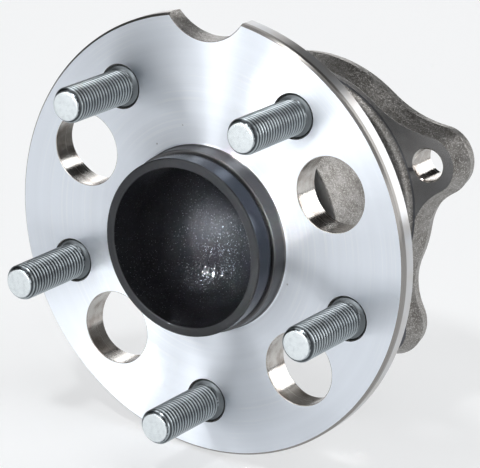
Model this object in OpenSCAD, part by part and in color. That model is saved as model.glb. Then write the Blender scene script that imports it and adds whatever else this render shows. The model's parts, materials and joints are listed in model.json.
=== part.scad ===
/* [Wheel flange] */
// Radius of the wheel flange at its rim
flange_r = 75; // [73:0.5:80]
// Thickness of the flange from its wheel face to its flat back
flange_t = 10.5; // [9.5:0.25:13]
// Thickness of the flange at its rim
rim_t = 6.5; // [4.5:0.25:8]
// Radius where the flat back ends and tapers towards the rim
flat_back_r = 56; // [50:0.5:62]
// Chamfer on the front edge of the rim
rim_chamfer = 0.8; // [0.3:0.1:1.5]
// Radius of the relief notch in the rim
notch_r = 17; // [12:0.5:20]
// Depth of the relief notch, measured from the rim
notch_depth = 8.8; // [5:0.1:9.5]
// How far the hub is turned from the mounting bolts at rest
hub_turn = 5.1; // [-30:0.1:30]

/* [Wheel studs] */
// Number of wheel studs
stud_count = 5; // [4:1:5]
// Diameter of the stud circle
stud_circle_d = 114.3; // [110:0.1:118]
// Thread diameter of a stud
stud_d = 12; // [10:0.5:13]
// Length of a stud in front of the wheel face
stud_out = 30.1; // [20:0.1:45]
// Diameter over the splines that hold a stud in its hole
spline_d = 14.3; // [13.6:0.1:15.5]
// Depth at which the splines start below the wheel face
spline_sink = 0.8; // [0.3:0.1:2]
// Diameter of a stud head
stud_head_d = 19; // [17:0.5:20]
// Thickness of a stud head
stud_head_t = 4.2; // [2.5:0.1:4.3]
// Thickness left under a stud head
stud_seat_t = 8.4; // [7:0.1:9.2]

/* [Wheel and brake pilots] */
// Diameter of the pilot that centres the wheel
wheel_pilot_d = 60; // [58:0.1:61]
// Length of the pilots in front of the wheel face
pilot_out = 14; // [11:0.25:20]
// Diameter of the pilot that centres the brake disc
brake_pilot_d = 62; // [61.5:0.1:66]
// Length of the brake pilot in front of the wheel face
brake_pilot_out = 6; // [4:0.1:8]
// Width of the groove between the two pilots
pilot_groove_w = 0.8; // [0.4:0.1:1.5]
// Depth of the groove below the wheel pilot
pilot_groove_depth = 0.6; // [0.3:0.1:1]
// Radius of the dish at its mouth
dish_mouth_r = 26.9; // [26:0.1:27.5]
// Radius of the round bottom of the dish
dish_r = 25.7; // [24:0.1:26]
// Depth of the centre of the round bottom behind the pilot's end
dish_centre_depth = 10; // [6:0.25:13]

/* [Ball rows] */
// Diameter of a ball
ball_d = 11.906; // [11:0.001:12.4]
// Balls in each row
ball_count = 13; // [11:1:13]
// Radius of the circle through the ball centres
pitch_r = 31; // [30.5:0.1:31.8]
// Radial play of a ball in its grooves
ball_play = 0.047; // [0.02:0.001:0.09]
// Distance between the two ball rows
row_spacing = 27; // [24:0.25:32]
// Distance of the first ball row behind the outer ring's front end
row_inset = 12; // [11.5:0.25:15]
// Height of the high inner shoulder below the pitch circle
inner_shoulder_drop = 1.5; // [1:0.1:2.5]
// Height of the high outer shoulder above the pitch circle
outer_shoulder_rise = 1.6; // [1.5:0.1:2.5]

/* [Cages] */
// Inner radius of a cage below the pitch circle
cage_inner_drop = 1.1; // [0.9:0.05:1.4]
// Outer radius of the cage fingers above the pitch circle
cage_outer_rise = 1.1; // [0.8:0.05:1.3]
// Outer radius of the cage's side ring above the pitch circle
cage_ring_rise = 4; // [2:0.1:5]
// Thickness of the cage's side ring
cage_ring_t = 2.6; // [2:0.1:3.2]
// Gap between the front cage and the seal
cage_gap = 0.5; // [0.3:0.1:1]
// Reach of the cage fingers past the ball centres
cage_finger = 3.6; // [2.5:0.1:4.2]
// Play of a ball in its cage pocket
pocket_play = 0.1; // [0.05:0.01:0.3]

/* [Spindle and inner ring] */
// Radius of the spindle where the inner ring sits
spindle_r = 20.5; // [18.5:0.1:21.5]
// Length of the inner ring behind the second ball row
inner_ring_tail = 13; // [12.4:0.25:15]
// Diameter of the spindle thread
thread_d = 24; // [20:1:27]
// Width of the spindle nut across its flats
nut_flats = 36; // [32:1:38]
// Height of the nut's hexagon
nut_h = 8; // [6:0.5:9]
// Height of the thin collar that is staked to the spindle
stake_h = 3; // [1.5:0.5:4]

/* [Outer ring] */
// Gap between the wheel flange and the outer ring
ring_gap = 4.5; // [4:0.25:8]
// Outside radius of the outer ring at its front end
barrel_front_r = 41.7; // [41:0.1:43]
// Outside radius of the outer ring beside its mounting flange
barrel_back_r = 42.7; // [42:0.1:44]
// Radius of the seats for the seal and the cap
seat_r = 37.5; // [37.3:0.1:38.2]
// Depth of the seal's seat
seal_seat_depth = 5; // [4.4:0.1:7]
// Depth of the cap's seat
cap_seat_depth = 9; // [8:0.25:10]

/* [Mounting flange] */
// Distance of the mounting face behind the second ball row
mount_offset = 16.5; // [14:0.25:20]
// Thickness of the mounting flange between its machined faces
ear_t = 11.9; // [9:0.1:13]
// Radius of the mounting bolt circle
bolt_circle_r = 53; // [52:0.25:55]
// Angle of the upper bolts above the horizontal
upper_bolt_angle = 25.3; // [22:0.1:28]
// Angle of the lower bolts below the horizontal
lower_bolt_angle = 46.5; // [44:0.1:49]
// Diameter of a mounting bolt hole
bolt_hole_d = 11; // [9:0.1:12]
// Chamfer at both ends of a bolt hole
bolt_chamfer = 0.5; // [0.2:0.1:1]
// Diameter of the holes in the wheel flange that let a socket through
access_d = 24.9; // [22:0.1:25.5]
// Radius of the forging round a bolt hole
ear_r = 12.2; // [11:0.1:13]
// Radius of the forging between the upper bolts
crown_r = 49; // [47.5:0.1:50]
// Radius of the forging beside and below the ring
waist_r = 46.8; // [46:0.1:48]
// Radius of the hollow that blends the crown into an ear
crown_blend_r = 40; // [30:1:50]
// Radius of the hollow that blends the waist into an ear
waist_blend_r = 20; // [16:0.5:24]
// How far the forging's edge falls back from its parting line to the front face
front_draft = 2.2; // [1.2:0.1:2.6]
// How far the forging's edge falls back from its parting line to the mounting face
back_draft = 1; // [0.4:0.1:1.5]
// Distance of the parting line from the mounting face
parting_depth = 4.5; // [3:0.1:5.5]
// Radius of the fillet between the barrel and the mounting flange
barrel_fillet = 2.5; // [1.5:0.1:3]
// Radius of the spigot that enters the knuckle
spigot_r = 40; // [39.3:0.1:41.5]
// Length of the spigot behind the mounting face
spigot_len = 9.5; // [8:0.25:12]

/* [Seal] */
// Thickness of the seal's steel case
seal_steel_t = 0.9; // [0.6:0.1:1.2]
// Width of the seal's steel case
seal_case_w = 3.6; // [3.3:0.1:4]
// Height of the seal between its seat and the land on the hub
seal_h = 8; // [7.7:0.1:8.2]
// Radius of the ground fillet that the seal lips run on
lip_fillet_r = 5; // [3.5:0.1:5.5]
// Gap between a lip and the surface it runs on
lip_gap = 0.1; // [0.05:0.05:0.3]

/* [Speed sensor ring] */
// Outer radius of the sensor ring beyond the pitch circle
sensor_ring_rise = 4.3; // [3.5:0.1:5]
// Thickness of the sensor ring's steel
sensor_ring_steel_t = 0.8; // [0.5:0.1:1]
// Thickness of the magnetic rubber on the sensor ring
magnet_t = 0.9; // [0.6:0.1:1.5]
// Air gap between the magnetic rubber and the sensor
air_gap = 1; // [0.5:0.1:1.5]

/* [End cap and sensor] */
// Sheet thickness of the end cap
cap_t = 1.2; // [0.8:0.1:1.5]
// Height of the end cap behind the outer ring
cap_out = 6; // [5:0.25:9]
// Radius of the bead that stops the cap against the ring
cap_bead_r = 39.2; // [38.9:0.1:39.3]
// Radius of the round edge of the cap
cap_corner_r = 2; // [1.5:0.1:2.5]
// Diameter of the sensor's barrel
sensor_barrel_d = 6; // [5:0.1:6.4]
// Angle of the sensor, measured round the axle from the right
sensor_angle = 270; // [0:1:360]
// Distance of the connector from the axle
connector_r = 21; // [16:0.5:22]
// Width of the connector housing
shroud_w = 16; // [14:0.5:19]
// Height of the connector housing
shroud_h = 12; // [11:0.5:14]
// Length of the connector housing
shroud_len = 16; // [14:0.5:20]
// Wall of the connector housing
shroud_wall = 1.6; // [1.2:0.1:2]
// Depth of the connector socket
socket_depth = 12; // [11:0.5:13]
// Length of the terminal blades inside the socket
terminal_out = 6; // [4:0.5:6.5]

/* [Hidden] */
$fn = 96;
// Extra length that takes a cut past the surface it opens
past = 1;
// Small edge break on turned edges
edge = 0.5;
// Low shoulder that keeps a groove from running out tangentially
low_shoulder = 0.1;

wheel_pilot_r = wheel_pilot_d / 2;
brake_pilot_r = brake_pilot_d / 2;
stud_circle_r = stud_circle_d / 2;
notch_centre_r = flange_r - notch_depth + notch_r;
// Fillet between the brake pilot and the wheel face
pilot_fillet = 1.3;
// Chamfer on the wheel pilot, which leads a wheel on
pilot_lead = 0.6;
// Chamfer at the mouth of a stud hole
stud_hole_chamfer = 0.5;
// Room round a stud head in its spot face
head_room = 1;
// Length of the chamfer at the tip of a stud
stud_tip_chamfer = 1.1;

ball_r = ball_d / 2;
groove_r = ball_r + ball_play;
ring_front_s = flange_t + ring_gap;
outboard_row_s = ring_front_s + row_inset;
inboard_row_s = outboard_row_s + row_spacing;
abut_s = outboard_row_s + row_spacing / 2;
inner_ring_end_s = inboard_row_s + inner_ring_tail;
inner_shoulder_r = pitch_r - inner_shoulder_drop;
outer_shoulder_r = pitch_r + outer_shoulder_rise;
inner_low_r = pitch_r - groove_r + low_shoulder;
outer_low_r = pitch_r + groove_r - low_shoulder;

thread_r = thread_d / 2;
// Length by which the spindle seat stays short of the inner ring's end
seat_short = 1.5;
// Length by which the thread stands out of the nut
thread_over = 1.5;
// Width by which the round face under the nut stands out past its flats
nut_face_margin = 1;
nut_face_r = nut_flats / 2 + nut_face_margin;
// Height of the round face under the nut
nut_face_t = 1;
// Wall of the staked collar
stake_wall = 2;
nut_end_s = inner_ring_end_s + nut_face_t + nut_h + stake_h;
thread_end_s = nut_end_s + thread_over;

mount_face_s = inboard_row_s + mount_offset;
ear_front_s = mount_face_s - ear_t;
parting_s = mount_face_s - parting_depth;
ring_end_s = mount_face_s + spigot_len;
// Angle of each ear, counted anticlockwise from the right
ear_angles = [
  upper_bolt_angle,
  180 - upper_bolt_angle,
  180 + lower_bolt_angle,
  360 - lower_bolt_angle,
  360 + upper_bolt_angle
];
// Radius of the forging and of its blends in the gap after each ear
gap_base_r = [crown_r, waist_r, waist_r, waist_r];
gap_blend_r = [crown_blend_r, waist_blend_r, waist_blend_r, waist_blend_r];
// Steps along one ear, one blend and one stretch of the forging between blends
ear_steps = 14;
blend_steps = 6;
base_steps = 8;

// Distance of the seal's front edge behind the outer ring's front end
seal_sink = 0.3;
seal_front_s = ring_front_s + seal_sink;
seal_back_s = seal_front_s + seal_case_w;
// Distance of a cage's outer face from its ball centres
cage_back = row_inset - seal_sink - seal_case_w - cage_gap;
// Radius of the land on the hub that the seal runs on
seal_land_r = seat_r - seal_h;
// Height of the gap that the seal closes between its case and the seal land
seal_gap = seal_h - seal_steel_t;
// Inner radius of the seal's steel web
seal_web_r = seal_land_r + seal_gap / 2;

// Gap between the cage and the sensor ring's sleeve
sleeve_gap = 0.4;
sleeve_front_s = inboard_row_s + cage_back + sleeve_gap;
sensor_ring_r = pitch_r + sensor_ring_rise;
// Length by which the sensor ring's steel stays short of the inner ring's end
ring_short = 0.5;
disc_s = inner_ring_end_s - ring_short;
magnet_s = disc_s + magnet_t;
// Bare steel left between the sensor ring's sleeve and the magnetic rubber
magnet_margin = 0.8;
magnet_inner_r = inner_shoulder_r + sensor_ring_steel_t + magnet_margin;

cap_floor_s = ring_end_s + cap_out;
cap_inner_r = seat_r - cap_t;
cap_in = 8;
cap_bead_t = 2 * cap_t;
sensor_barrel_r = sensor_barrel_d / 2;
// Flat metal left between the sensor's hole and the round edge of the cap
hole_margin = 0.4;
sensor_pitch_r = seat_r - cap_corner_r - hole_margin - sensor_barrel_r;
sensor_tip_s = magnet_s + air_gap;
// Thickness of the foot that seats the sensor on the cap, and its margin round the connector
foot_t = 2.5;
foot_margin = 1;
foot_in_r = connector_r - shroud_w / 2 - foot_margin;
foot_out_r = sensor_pitch_r + sensor_barrel_r;
shroud_s = cap_floor_s + foot_t;
shroud_end_s = shroud_s + shroud_len;
// Thickness and width of a terminal blade, and distance between the two blades
blade_t = 0.8;
blade_w = 2;
blade_spacing = 4.5;
// Length of a blade inside the plastic
blade_root = 2;

// Names of the numbered pieces
stud_names = [for (i = [1 : stud_count]) str("wheel_stud_", i)];
// Two figures for every number, so that the names sort in order
function two_figures(n) = n < 10 ? str("0", n) : str(n);
outboard_ball_names = [for (i = [1 : ball_count]) str("ball_outboard_", two_figures(i))];
inboard_ball_names = [for (i = [1 : ball_count]) str("ball_inboard_", two_figures(i))];

// Turns a shape modelled along Z onto the axle, so that its stations run along +Y
module on_axle() {
  rotate([-90, 0, 0])
    children();
}

// The same for the pieces that turn with the hub
module on_hub() {
  on_axle()
    rotate([0, 0, -hub_turn])
      children();
}

// Places a shape at an angle round the axle, counted anticlockwise as the wheel side shows it
module at_clock(angle, radius) {
  rotate([0, 0, -angle])
    translate([radius, 0, 0])
      children();
}

// Section of a ring between two radii and two stations
module band(r_in, r_out, s_from, s_to) {
  translate([r_in, s_from])
    square([r_out - r_in, s_to - s_from]);
}

// Section of the groove that a row of balls runs in
module groove_section(row_s) {
  translate([pitch_r, row_s])
    circle(r = groove_r);
}

// Section that fills an inner corner, with a round fillet whose walls meet at r and s
module fillet_section(r, s, size, towards) {
  difference() {
    band(r - edge, r + size, min(s - towards * edge, s + towards * size), max(s - towards * edge, s + towards * size));
    translate([r + size, s + towards * size])
      circle(r = size);
  }
}

// Angle of stud number i
function stud_angle(i) = -90 + (i - 1) * 360 / stud_count;

// Section of the hub: pilots, flange, seal land, first raceway, spindle and thread
module hub_section() {
  difference() {
    union() {
      polygon([
        [0, -pilot_out],
        [wheel_pilot_r - pilot_lead, -pilot_out],
        [wheel_pilot_r, -pilot_out + pilot_lead],
        [wheel_pilot_r, -brake_pilot_out],
        [brake_pilot_r - edge, -brake_pilot_out],
        [brake_pilot_r, -brake_pilot_out + edge],
        [brake_pilot_r, 0],
        [flange_r - rim_chamfer, 0],
        [flange_r, rim_chamfer],
        [flange_r, rim_t - edge],
        [flange_r - edge, rim_t],
        [flat_back_r, flange_t],
        [inner_low_r, flange_t],
        [inner_low_r, abut_s - edge],
        [inner_low_r - edge, abut_s],
        [spindle_r, abut_s],
        [spindle_r, inner_ring_end_s - seat_short - edge],
        [spindle_r - edge, inner_ring_end_s - seat_short],
        [thread_r, inner_ring_end_s - seat_short],
        [thread_r, thread_end_s - pilot_lead],
        [thread_r - pilot_lead, thread_end_s],
        [0, thread_end_s]
      ]);
      fillet_section(brake_pilot_r, 0, pilot_fillet, -1);
      fillet_section(seal_land_r, flange_t, lip_fillet_r, 1);
      band(0, seal_land_r, flange_t - edge, seal_back_s);
      band(0, inner_shoulder_r, seal_back_s, outboard_row_s);
    }
    groove_section(outboard_row_s);
    band(
      wheel_pilot_r - pilot_groove_depth,
      brake_pilot_r + past,
      -brake_pilot_out - pilot_groove_w,
      -brake_pilot_out
    );
    dish_section();
  }
}

// Section of the dish: a round bottom that widens to its mouth
module dish_section() {
  centre_s = -pilot_out + dish_centre_depth;
  intersection() {
    translate([0, centre_s])
      circle(r = dish_r);
    band(0, dish_r + past, centre_s, centre_s + dish_r + past);
  }
  polygon([
    [0, -pilot_out - past],
    [dish_mouth_r, -pilot_out - past],
    [dish_mouth_r, -pilot_out],
    [dish_r, centre_s],
    [0, centre_s]
  ]);
}

module hub_spindle() {
  color([0.78, 0.79, 0.80])
    on_hub()
      difference() {
        rotate_extrude()
          hub_section();
        for (i = [1 : stud_count])
          at_clock(stud_angle(i), stud_circle_r)
            stud_hole();
        for (k = [0 : 3])
          at_clock(ear_angles[k], bolt_circle_r)
            translate([0, 0, -past])
              cylinder(d = access_d, h = flange_t + 2 * past);
        at_clock(90, notch_centre_r)
          translate([0, 0, -past])
            cylinder(r = notch_r, h = flange_t + 2 * past);
      }
}

// Hole for one stud, with a chamfered mouth and a spot face for the head
module stud_hole() {
  translate([0, 0, -past])
    cylinder(d = spline_d, h = flange_t + 2 * past);
  translate([0, 0, -stud_hole_chamfer])
    cylinder(
      r1 = spline_d / 2 + 2 * stud_hole_chamfer,
      r2 = spline_d / 2,
      h = 2 * stud_hole_chamfer
    );
  translate([0, 0, stud_seat_t])
    cylinder(r = stud_head_d / 2 + head_room, h = flange_t);
}

module wheel_stud(i) {
  color([0.74, 0.77, 0.80])
    on_hub()
      at_clock(stud_angle(i), stud_circle_r)
        rotate_extrude()
          polygon([
            [0, -stud_out],
            [stud_d / 2 - stud_tip_chamfer, -stud_out],
            [stud_d / 2, -stud_out + stud_tip_chamfer],
            [stud_d / 2, spline_sink - edge],
            [spline_d / 2 - edge, spline_sink - edge],
            [spline_d / 2, spline_sink],
            [spline_d / 2, stud_seat_t],
            [stud_head_d / 2, stud_seat_t],
            [stud_head_d / 2, stud_seat_t + stud_head_t - edge],
            [stud_head_d / 2 - edge, stud_seat_t + stud_head_t],
            [0, stud_seat_t + stud_head_t]
          ]);
}

module inner_ring() {
  color([0.62, 0.63, 0.65])
    on_hub()
      rotate_extrude()
        difference() {
          polygon([
            [spindle_r, abut_s],
            [inner_low_r - edge, abut_s],
            [inner_low_r, abut_s + edge],
            [inner_low_r, inboard_row_s],
            [inner_shoulder_r, inboard_row_s],
            [inner_shoulder_r, inner_ring_end_s - edge],
            [inner_shoulder_r - edge, inner_ring_end_s],
            [spindle_r, inner_ring_end_s]
          ]);
          groove_section(inboard_row_s);
        }
}

module spindle_nut() {
  color([0.45, 0.46, 0.48])
    on_hub()
      translate([0, 0, inner_ring_end_s])
        difference() {
          union() {
            cylinder(r = nut_face_r, h = nut_face_t);
            translate([0, 0, nut_face_t])
              cylinder(d = nut_flats / cos(30), h = nut_h, $fn = 6);
            translate([0, 0, nut_face_t + nut_h])
              cylinder(r = thread_r + stake_wall, h = stake_h);
          }
          translate([0, 0, -past])
            cylinder(r = thread_r, h = nut_face_t + nut_h + stake_h + 2 * past);
        }
}

module sensor_ring_carrier() {
  color([0.55, 0.56, 0.58])
    on_hub()
      rotate_extrude() {
        band(
          inner_shoulder_r,
          inner_shoulder_r + sensor_ring_steel_t,
          sleeve_front_s,
          disc_s
        );
        band(inner_shoulder_r, sensor_ring_r, disc_s - sensor_ring_steel_t, disc_s);
      }
}

module sensor_ring_magnet() {
  color([0.12, 0.11, 0.11])
    on_hub()
      rotate_extrude()
        band(magnet_inner_r, sensor_ring_r, disc_s, magnet_s);
}

// Points along an arc about a centre, without its last point
function arc(centre, radius, from, to, steps) = [
  for (i = [0 : steps - 1])
    let (angle = from + (to - from) * i / steps)
      centre + radius * [cos(angle), sin(angle)]
];

// Angle opposite side c in a triangle with the sides a, b and c
function corner_angle(a, b, c) = acos((a * a + b * b - c * c) / (2 * a * b));

// Angle at the axle between an ear and the centre of the blend beside it
function blend_offset(gap) = corner_angle(
  gap_base_r[gap] + gap_blend_r[gap],
  bolt_circle_r,
  ear_r + gap_blend_r[gap]
);

// Angle at the ear between its outward direction and the centre of the blend beside it
function ear_swing(gap) = 180 - corner_angle(
  bolt_circle_r,
  ear_r + gap_blend_r[gap],
  gap_base_r[gap] + gap_blend_r[gap]
);

// A point given by its radius and angle
function polar(radius, angle) = radius * [cos(angle), sin(angle)];

// The forging's outline at its parting line, moved outwards by grow
function forging_outline(grow) = [
  for (gap = [0 : 3])
    let (
      before = (gap + 3) % 4,
      from = ear_angles[gap],
      to = ear_angles[gap + 1],
      swing = ear_swing(gap),
      offset_angle = blend_offset(gap),
      blend_centre_r = gap_base_r[gap] + gap_blend_r[gap],
      blend_r = gap_blend_r[gap] - grow
    )
      each concat(
        arc(polar(bolt_circle_r, from), ear_r + grow, from - ear_swing(before), from + swing, ear_steps),
        arc(
          polar(blend_centre_r, from + offset_angle),
          blend_r,
          from + swing + 180,
          from + offset_angle + 180,
          blend_steps
        ),
        arc([0, 0], gap_base_r[gap] + grow, from + offset_angle, to - offset_angle, base_steps),
        arc(
          polar(blend_centre_r, to - offset_angle),
          blend_r,
          to - offset_angle + 180,
          to - swing + 180,
          blend_steps
        )
      )
];

// A solid through one outline at each level, where a level is a station and a growth
module forging_loft(levels) {
  count = len(forging_outline(0));
  last = len(levels) - 1;
  points = [
    for (level = levels)
      for (p = forging_outline(level[1]))
        [p[0], p[1], level[0]]
  ];
  walls = [
    for (k = [0 : last - 1])
      for (i = [0 : count - 1])
        let (
          j = (i + 1) % count,
          low = k * count,
          high = low + count
        )
          each [[low + i, high + i, high + j], [low + i, high + j, low + j]]
  ];
  front = [[for (i = [0 : count - 1]) i]];
  back = [[for (i = [count - 1 : -1 : 0]) last * count + i]];
  polyhedron(points = points, faces = concat(front, walls, back));
}

// The mounting flange: a drafted forging, milled flat on both faces
module mounting_flange() {
  // Stock that the mill takes off each face
  stock = 1;
  front_slope = front_draft / (parting_s - ear_front_s);
  back_slope = back_draft / (mount_face_s - parting_s);
  intersection() {
    mirror([0, 1, 0])
      forging_loft([
        [ear_front_s - stock, -front_draft - stock * front_slope],
        [parting_s, 0],
        [mount_face_s + stock, -back_draft - stock * back_slope]
      ]);
    translate([0, 0, ear_front_s])
      cylinder(r = bolt_circle_r + 2 * ear_r, h = ear_t);
  }
}

// Section of the outer ring without its ears
module ring_section() {
  difference() {
    union() {
      polygon([
        [0, ring_front_s],
        [barrel_front_r - edge, ring_front_s],
        [barrel_front_r, ring_front_s + edge],
        [barrel_back_r, ear_front_s],
        [barrel_back_r, mount_face_s - edge],
        [spigot_r, mount_face_s - edge],
        [spigot_r, ring_end_s - edge],
        [spigot_r - edge, ring_end_s],
        [0, ring_end_s]
      ]);
      fillet_section(barrel_back_r, ear_front_s, barrel_fillet, -1);
    }
    band(0, outer_shoulder_r, ring_front_s - past, ring_end_s + past);
    band(0, outer_low_r, ring_front_s - past, outboard_row_s);
    band(0, outer_low_r, inboard_row_s, ring_end_s + past);
    groove_section(outboard_row_s);
    groove_section(inboard_row_s);
    band(0, seat_r, ring_front_s - past, ring_front_s + seal_seat_depth);
    band(0, seat_r, ring_end_s - cap_seat_depth, ring_end_s + past);
  }
}

// A mounting bolt hole through an ear, chamfered at both faces
module bolt_hole() {
  hole_r = bolt_hole_d / 2;
  translate([0, 0, ear_front_s - past])
    cylinder(r = hole_r, h = ear_t + 2 * past);
  translate([0, 0, ear_front_s - bolt_chamfer])
    cylinder(r1 = hole_r + 2 * bolt_chamfer, r2 = hole_r, h = 2 * bolt_chamfer);
  translate([0, 0, mount_face_s - bolt_chamfer])
    cylinder(r1 = hole_r, r2 = hole_r + 2 * bolt_chamfer, h = 2 * bolt_chamfer);
}

module outer_ring() {
  color([0.42, 0.40, 0.38])
    on_axle()
      difference() {
        union() {
          rotate_extrude()
            ring_section();
          difference() {
            mounting_flange();
            translate([0, 0, ear_front_s - past])
              cylinder(r = (outer_low_r + spigot_r) / 2, h = ear_t + 2 * past);
          }
        }
        for (k = [0 : 3])
          at_clock(ear_angles[k], bolt_circle_r)
            bolt_hole();
      }
}

module seal_case() {
  color([0.50, 0.51, 0.53])
    on_axle()
      rotate_extrude() {
        band(seat_r - seal_steel_t, seat_r, seal_front_s, seal_back_s);
        band(seal_web_r, seat_r, seal_back_s - seal_steel_t, seal_back_s);
      }
}

// Rubber bonded to the steel case, with one lip on the land, one on the fillet and one on the flange
module seal_lips() {
  web_s = seal_back_s - seal_steel_t;
  case_r = seat_r - seal_steel_t;
  lip_r = seal_land_r + lip_gap;
  fillet_centre_r = seal_land_r + lip_fillet_r;
  fillet_centre_s = flange_t + lip_fillet_r;
  // Shares of the gap that place the middle lip and size a lip and the rubber on the web
  tip_share = 0.41;
  lip_share = 0.1;
  rubber_share = 0.155;
  tip_r = seal_land_r + tip_share * seal_gap;
  tip_reach = sqrt(pow(lip_fillet_r - lip_gap, 2) - pow(fillet_centre_r - tip_r, 2));
  tip = [tip_r, fillet_centre_s - tip_reach];
  lip_t = lip_share * seal_gap;
  rubber_t = rubber_share * seal_gap;
  outer_tip_s = flange_t + lip_gap;
  color([0.07, 0.07, 0.07])
    on_axle()
      rotate_extrude()
        polygon([
          [case_r, web_s],
          [seal_web_r, web_s],
          [seal_web_r, seal_back_s],
          [seal_web_r - rubber_t, seal_back_s],
          [lip_r, seal_back_s - edge],
          [lip_r, seal_back_s - edge - lip_t],
          [seal_web_r - 2 * rubber_t, web_s - rubber_t],
          tip,
          tip + [lip_t, lip_gap],
          [seal_web_r, web_s - rubber_t],
          [case_r - 2 * rubber_t, web_s - rubber_t],
          [case_r - 2 * rubber_t + lip_t, outer_tip_s],
          [case_r - 2 * rubber_t + 2 * lip_t, outer_tip_s],
          [case_r - rubber_t + lip_t / 2, web_s - rubber_t],
          [case_r, web_s - rubber_t]
        ]);
}

// Cage with one side ring and open pockets, whose ring lies on the given side of its row
module cage(row_s, side) {
  ring_from = min(row_s + side * cage_back, row_s + side * (cage_back - cage_ring_t));
  sleeve_from = min(row_s + side * cage_back, row_s - side * cage_finger);
  color([0.72, 0.62, 0.42])
    on_axle()
      difference() {
        rotate_extrude() {
          band(
            pitch_r - cage_inner_drop,
            pitch_r + cage_ring_rise,
            ring_from,
            ring_from + cage_ring_t
          );
          band(
            pitch_r - cage_inner_drop,
            pitch_r + cage_outer_rise,
            sleeve_from,
            sleeve_from + cage_back + cage_finger
          );
        }
        for (i = [1 : ball_count])
          at_clock(ball_angle(i), pitch_r)
            translate([0, 0, row_s])
              sphere(r = ball_r + pocket_play);
      }
}

// Angle of ball number i
function ball_angle(i) = 90 + (i - 1) * 360 / ball_count;

module ball(i, row_s) {
  color([0.80, 0.81, 0.82])
    on_axle()
      at_clock(ball_angle(i), pitch_r)
        translate([0, 0, row_s])
          sphere(d = ball_d);
}

// Section of the pressed cap: sleeve, bead, wall and floor with a round edge
module cap_section() {
  difference() {
    union() {
      band(0, seat_r, ring_end_s - cap_in, cap_floor_s - cap_corner_r);
      band(0, seat_r - cap_corner_r, cap_floor_s - cap_corner_r, cap_floor_s);
      translate([seat_r - cap_corner_r, cap_floor_s - cap_corner_r])
        circle(r = cap_corner_r);
      band(0, cap_bead_r, ring_end_s, ring_end_s + cap_bead_t);
    }
    band(0, cap_inner_r, ring_end_s - cap_in - past, cap_floor_s - cap_t);
  }
}

module end_cap() {
  color([0.60, 0.61, 0.58])
    on_axle()
      difference() {
        rotate_extrude()
          intersection() {
            cap_section();
            band(0, cap_bead_r + past, ring_end_s - cap_in, cap_floor_s + past);
          }
        at_clock(sensor_angle, sensor_pitch_r)
          translate([0, 0, cap_floor_s - cap_t - past])
            cylinder(r = sensor_barrel_r, h = cap_t + 2 * past);
      }
}

// A bar with round corners, centred on its place
module rounded_bar(w, h, corner, length) {
  for (side = [-1, 1])
    for (end = [-1, 1])
      translate([side * (w / 2 - corner), end * (h / 2 - corner), 0])
        cylinder(r = corner, h = length);
  translate([-w / 2 + corner, -h / 2, 0])
    cube([w - 2 * corner, h, length]);
  translate([-w / 2, -h / 2 + corner, 0])
    cube([w, h - 2 * corner, length]);
}

// The sensor, moulded into the cap, with its barrel inside and its connector socket outside
module sensor_body() {
  corner = 2;
  color([0.09, 0.09, 0.10])
    on_axle()
      at_clock(sensor_angle, 0)
        difference() {
          union() {
            translate([sensor_pitch_r, 0, sensor_tip_s])
              cylinder(r = sensor_barrel_r, h = shroud_s - sensor_tip_s);
            translate([(foot_in_r + foot_out_r) / 2, 0, cap_floor_s])
              rounded_bar(foot_out_r - foot_in_r, shroud_h + 2 * foot_margin, corner, foot_t);
            translate([connector_r, 0, cap_floor_s])
              rounded_bar(shroud_w, shroud_h, corner, foot_t + shroud_len);
          }
          translate([connector_r, 0, shroud_end_s - socket_depth])
            rounded_bar(
              shroud_w - 2 * shroud_wall,
              shroud_h - 2 * shroud_wall,
              corner / 2,
              socket_depth + past
            );
          terminal_places()
            blade(blade_root + past);
        }
}

// Puts a shape where each of the two blades starts
module terminal_places() {
  for (side = [-1, 1])
    translate([
      connector_r + side * blade_spacing / 2,
      0,
      shroud_end_s - socket_depth - blade_root
    ])
      children();
}

// A flat terminal blade, centred on its place
module blade(length) {
  translate([-blade_t / 2, -blade_w / 2, 0])
    cube([blade_t, blade_w, length]);
}

module sensor_terminals() {
  color([0.80, 0.72, 0.45])
    on_axle()
      at_clock(sensor_angle, 0)
        terminal_places()
          blade(blade_root + terminal_out);
}

hub_spindle();
for (i = [1 : stud_count])
  wheel_stud(i);
inner_ring();
spindle_nut();
sensor_ring_carrier();
sensor_ring_magnet();
outer_ring();
seal_case();
seal_lips();
end_cap();
sensor_body();
sensor_terminals();
cage(outboard_row_s, -1);  // cage_outboard
cage(inboard_row_s, 1);  // cage_inboard
for (i = [1 : ball_count])
  ball(i, outboard_row_s);
for (i = [1 : ball_count])
  ball(i, inboard_row_s);
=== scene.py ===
import json
from math import acos, atan2, cos, hypot, pi, radians, sin, tan

import bmesh
import bpy
from bpy.props import FloatProperty, FloatVectorProperty, IntProperty, PointerProperty
from mathutils import Matrix, Vector


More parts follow.
